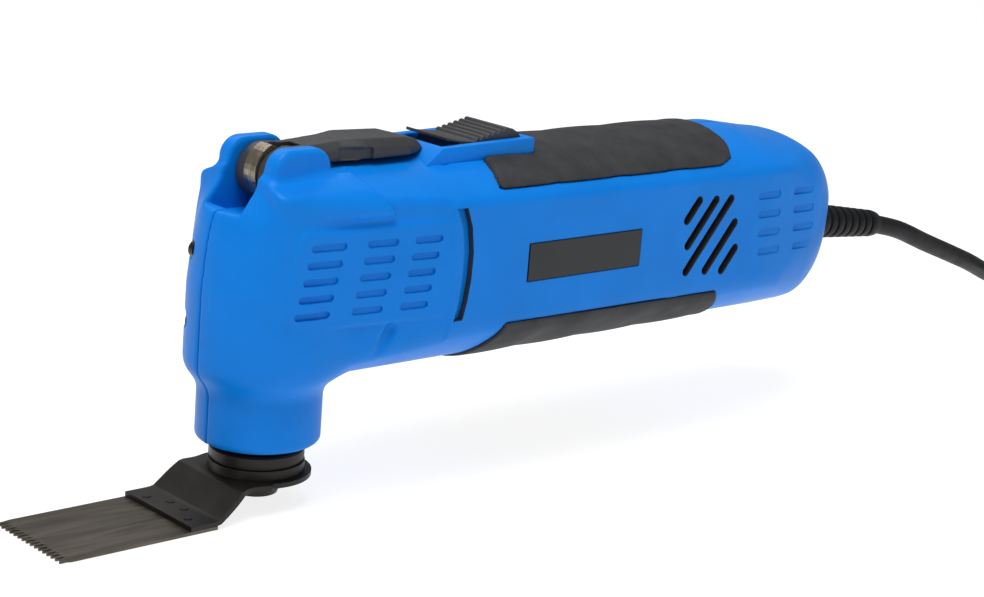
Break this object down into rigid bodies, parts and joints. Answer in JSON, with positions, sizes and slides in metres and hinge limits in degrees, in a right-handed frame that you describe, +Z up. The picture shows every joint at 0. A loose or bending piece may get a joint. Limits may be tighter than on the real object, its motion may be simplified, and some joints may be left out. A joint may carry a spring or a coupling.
{
  "type": "oscillating multi tool",
  "caption": "Corded oscillating multi tool with a flush-cut saw blade on a cranked bracket, flip-over clamp lever, slide switch, soft grips, vented motor barrel and coiled mains lead.",
  "frame": {"origin": "on the spindle axis, at the flange face that the accessory is clamped to", "axes": "+X along the motor barrel towards the cord, +Z up along the spindle, blade pointing to -X"},
  "size_m": [0.6135, 0.093, 0.1078],
  "materials": {
    "blue_shell": "satin moulded nylon, fine texture",
    "soft_grip": "matt textured overmould",
    "black_plastic": "fine spark-eroded texture",
    "label_dark": "satin film",
    "black_oxide": "bronze-black oxide",
    "bright_steel": "ground",
    "cam_steel": "burnished",
    "alloy": "die cast",
    "copper": "enamelled wire and turned bars",
    "carbon": "pressed graphite",
    "seal_rubber": "matt",
    "board": "glass epoxy board",
    "capacitor": "moulded case",
    "cord_black": "satin sheath",
    "pin_metal": "nickel plated"
  },
  "bodies": {
    "housing": {"housing_left": "blue_shell", "housing_right": "blue_shell", "top_grip": "soft_grip", "bottom_grip": "soft_grip", "label_plate_left": "label_dark", "label_plate_right": "label_dark", "switch_bezel": "blue_shell", "switch_module": "black_plastic", "lever_pivot_pin": "bright_steel", "lower_spindle_bearing": "bright_steel", "upper_spindle_bearing": "bright_steel", "bearing_cap": "alloy", "bearing_cap_screws": "bright_steel", "gear_case": "alloy", "dust_seal": "seal_rubber", "front_motor_bearing": "bright_steel", "rear_motor_bearing": "bright_steel", "rear_bearing_seat": "seal_rubber", "air_baffle": "black_plastic", "stator_core": "bright_steel", "field_coils": "copper", "brush_holders": "copper", "carbon_brushes": "carbon", "brush_springs": "bright_steel", "control_board": "board", "suppression_capacitor": "capacitor", "cord_clamp": "black_plastic", "cord_clamp_screws": "bright_steel", "housing_screws": "black_oxide", "strain_relief": "cord_black", "cord_tube": "cord_black", "cord_coil": "cord_black", "plug_body": "cord_black", "plug_pins": "pin_metal"},
    "switch": {"switch_slider": "black_plastic", "switch_link_bar": "black_plastic"},
    "lever": {"lever_handle": "black_plastic", "release_cam": "cam_steel"},
    "spindle": {"spindle": "black_oxide", "spindle_fork": "bright_steel", "blade_bracket": "black_oxide", "blade_rivets": "black_oxide", "saw_blade": "black_oxide"},
    "clamp": {"push_rod": "bright_steel", "clamp_bolt": "black_oxide", "clamp_spring": "bright_steel"},
    "rotor": {"motor_shaft": "bright_steel", "eccentric_bearing": "bright_steel", "armature_core": "bright_steel", "armature_windings": "copper", "commutator": "copper", "cooling_fan": "black_plastic"}
  },
  "joints": [
    {"name": "lever_flip", "type": "hinge", "parent": "housing", "child": "lever", "pos_m": [0.001, 0, 0.0885], "axis": [0, -1, 0], "range_deg": [0, 150]},
    {"name": "spindle_swing", "type": "hinge", "parent": "housing", "child": "spindle", "pos_m": [0, 0, 0], "axis": [0, 0, 1], "range_deg": [-1.6, 1.6]},
    {"name": "clamp_drop", "type": "slide", "parent": "spindle", "child": "clamp", "axis": [0, 0, -1], "range_m": [0, 0.002], "deforming": ["clamp_spring"]},
    {"name": "switch_slide", "type": "slide", "parent": "housing", "child": "switch", "axis": [-1, 0, 0], "range_m": [0, 0.0065]},
    {"name": "rotor_spin", "type": "hinge", "parent": "housing", "child": "rotor", "pos_m": [0.045, 0, 0.059], "axis": [1, 0, 0], "continuous": true}
  ],
  "couplings": [
    {"joint": "clamp_drop", "follows": "lever_flip", "m_per_rad": 0.0007639}
  ]
}
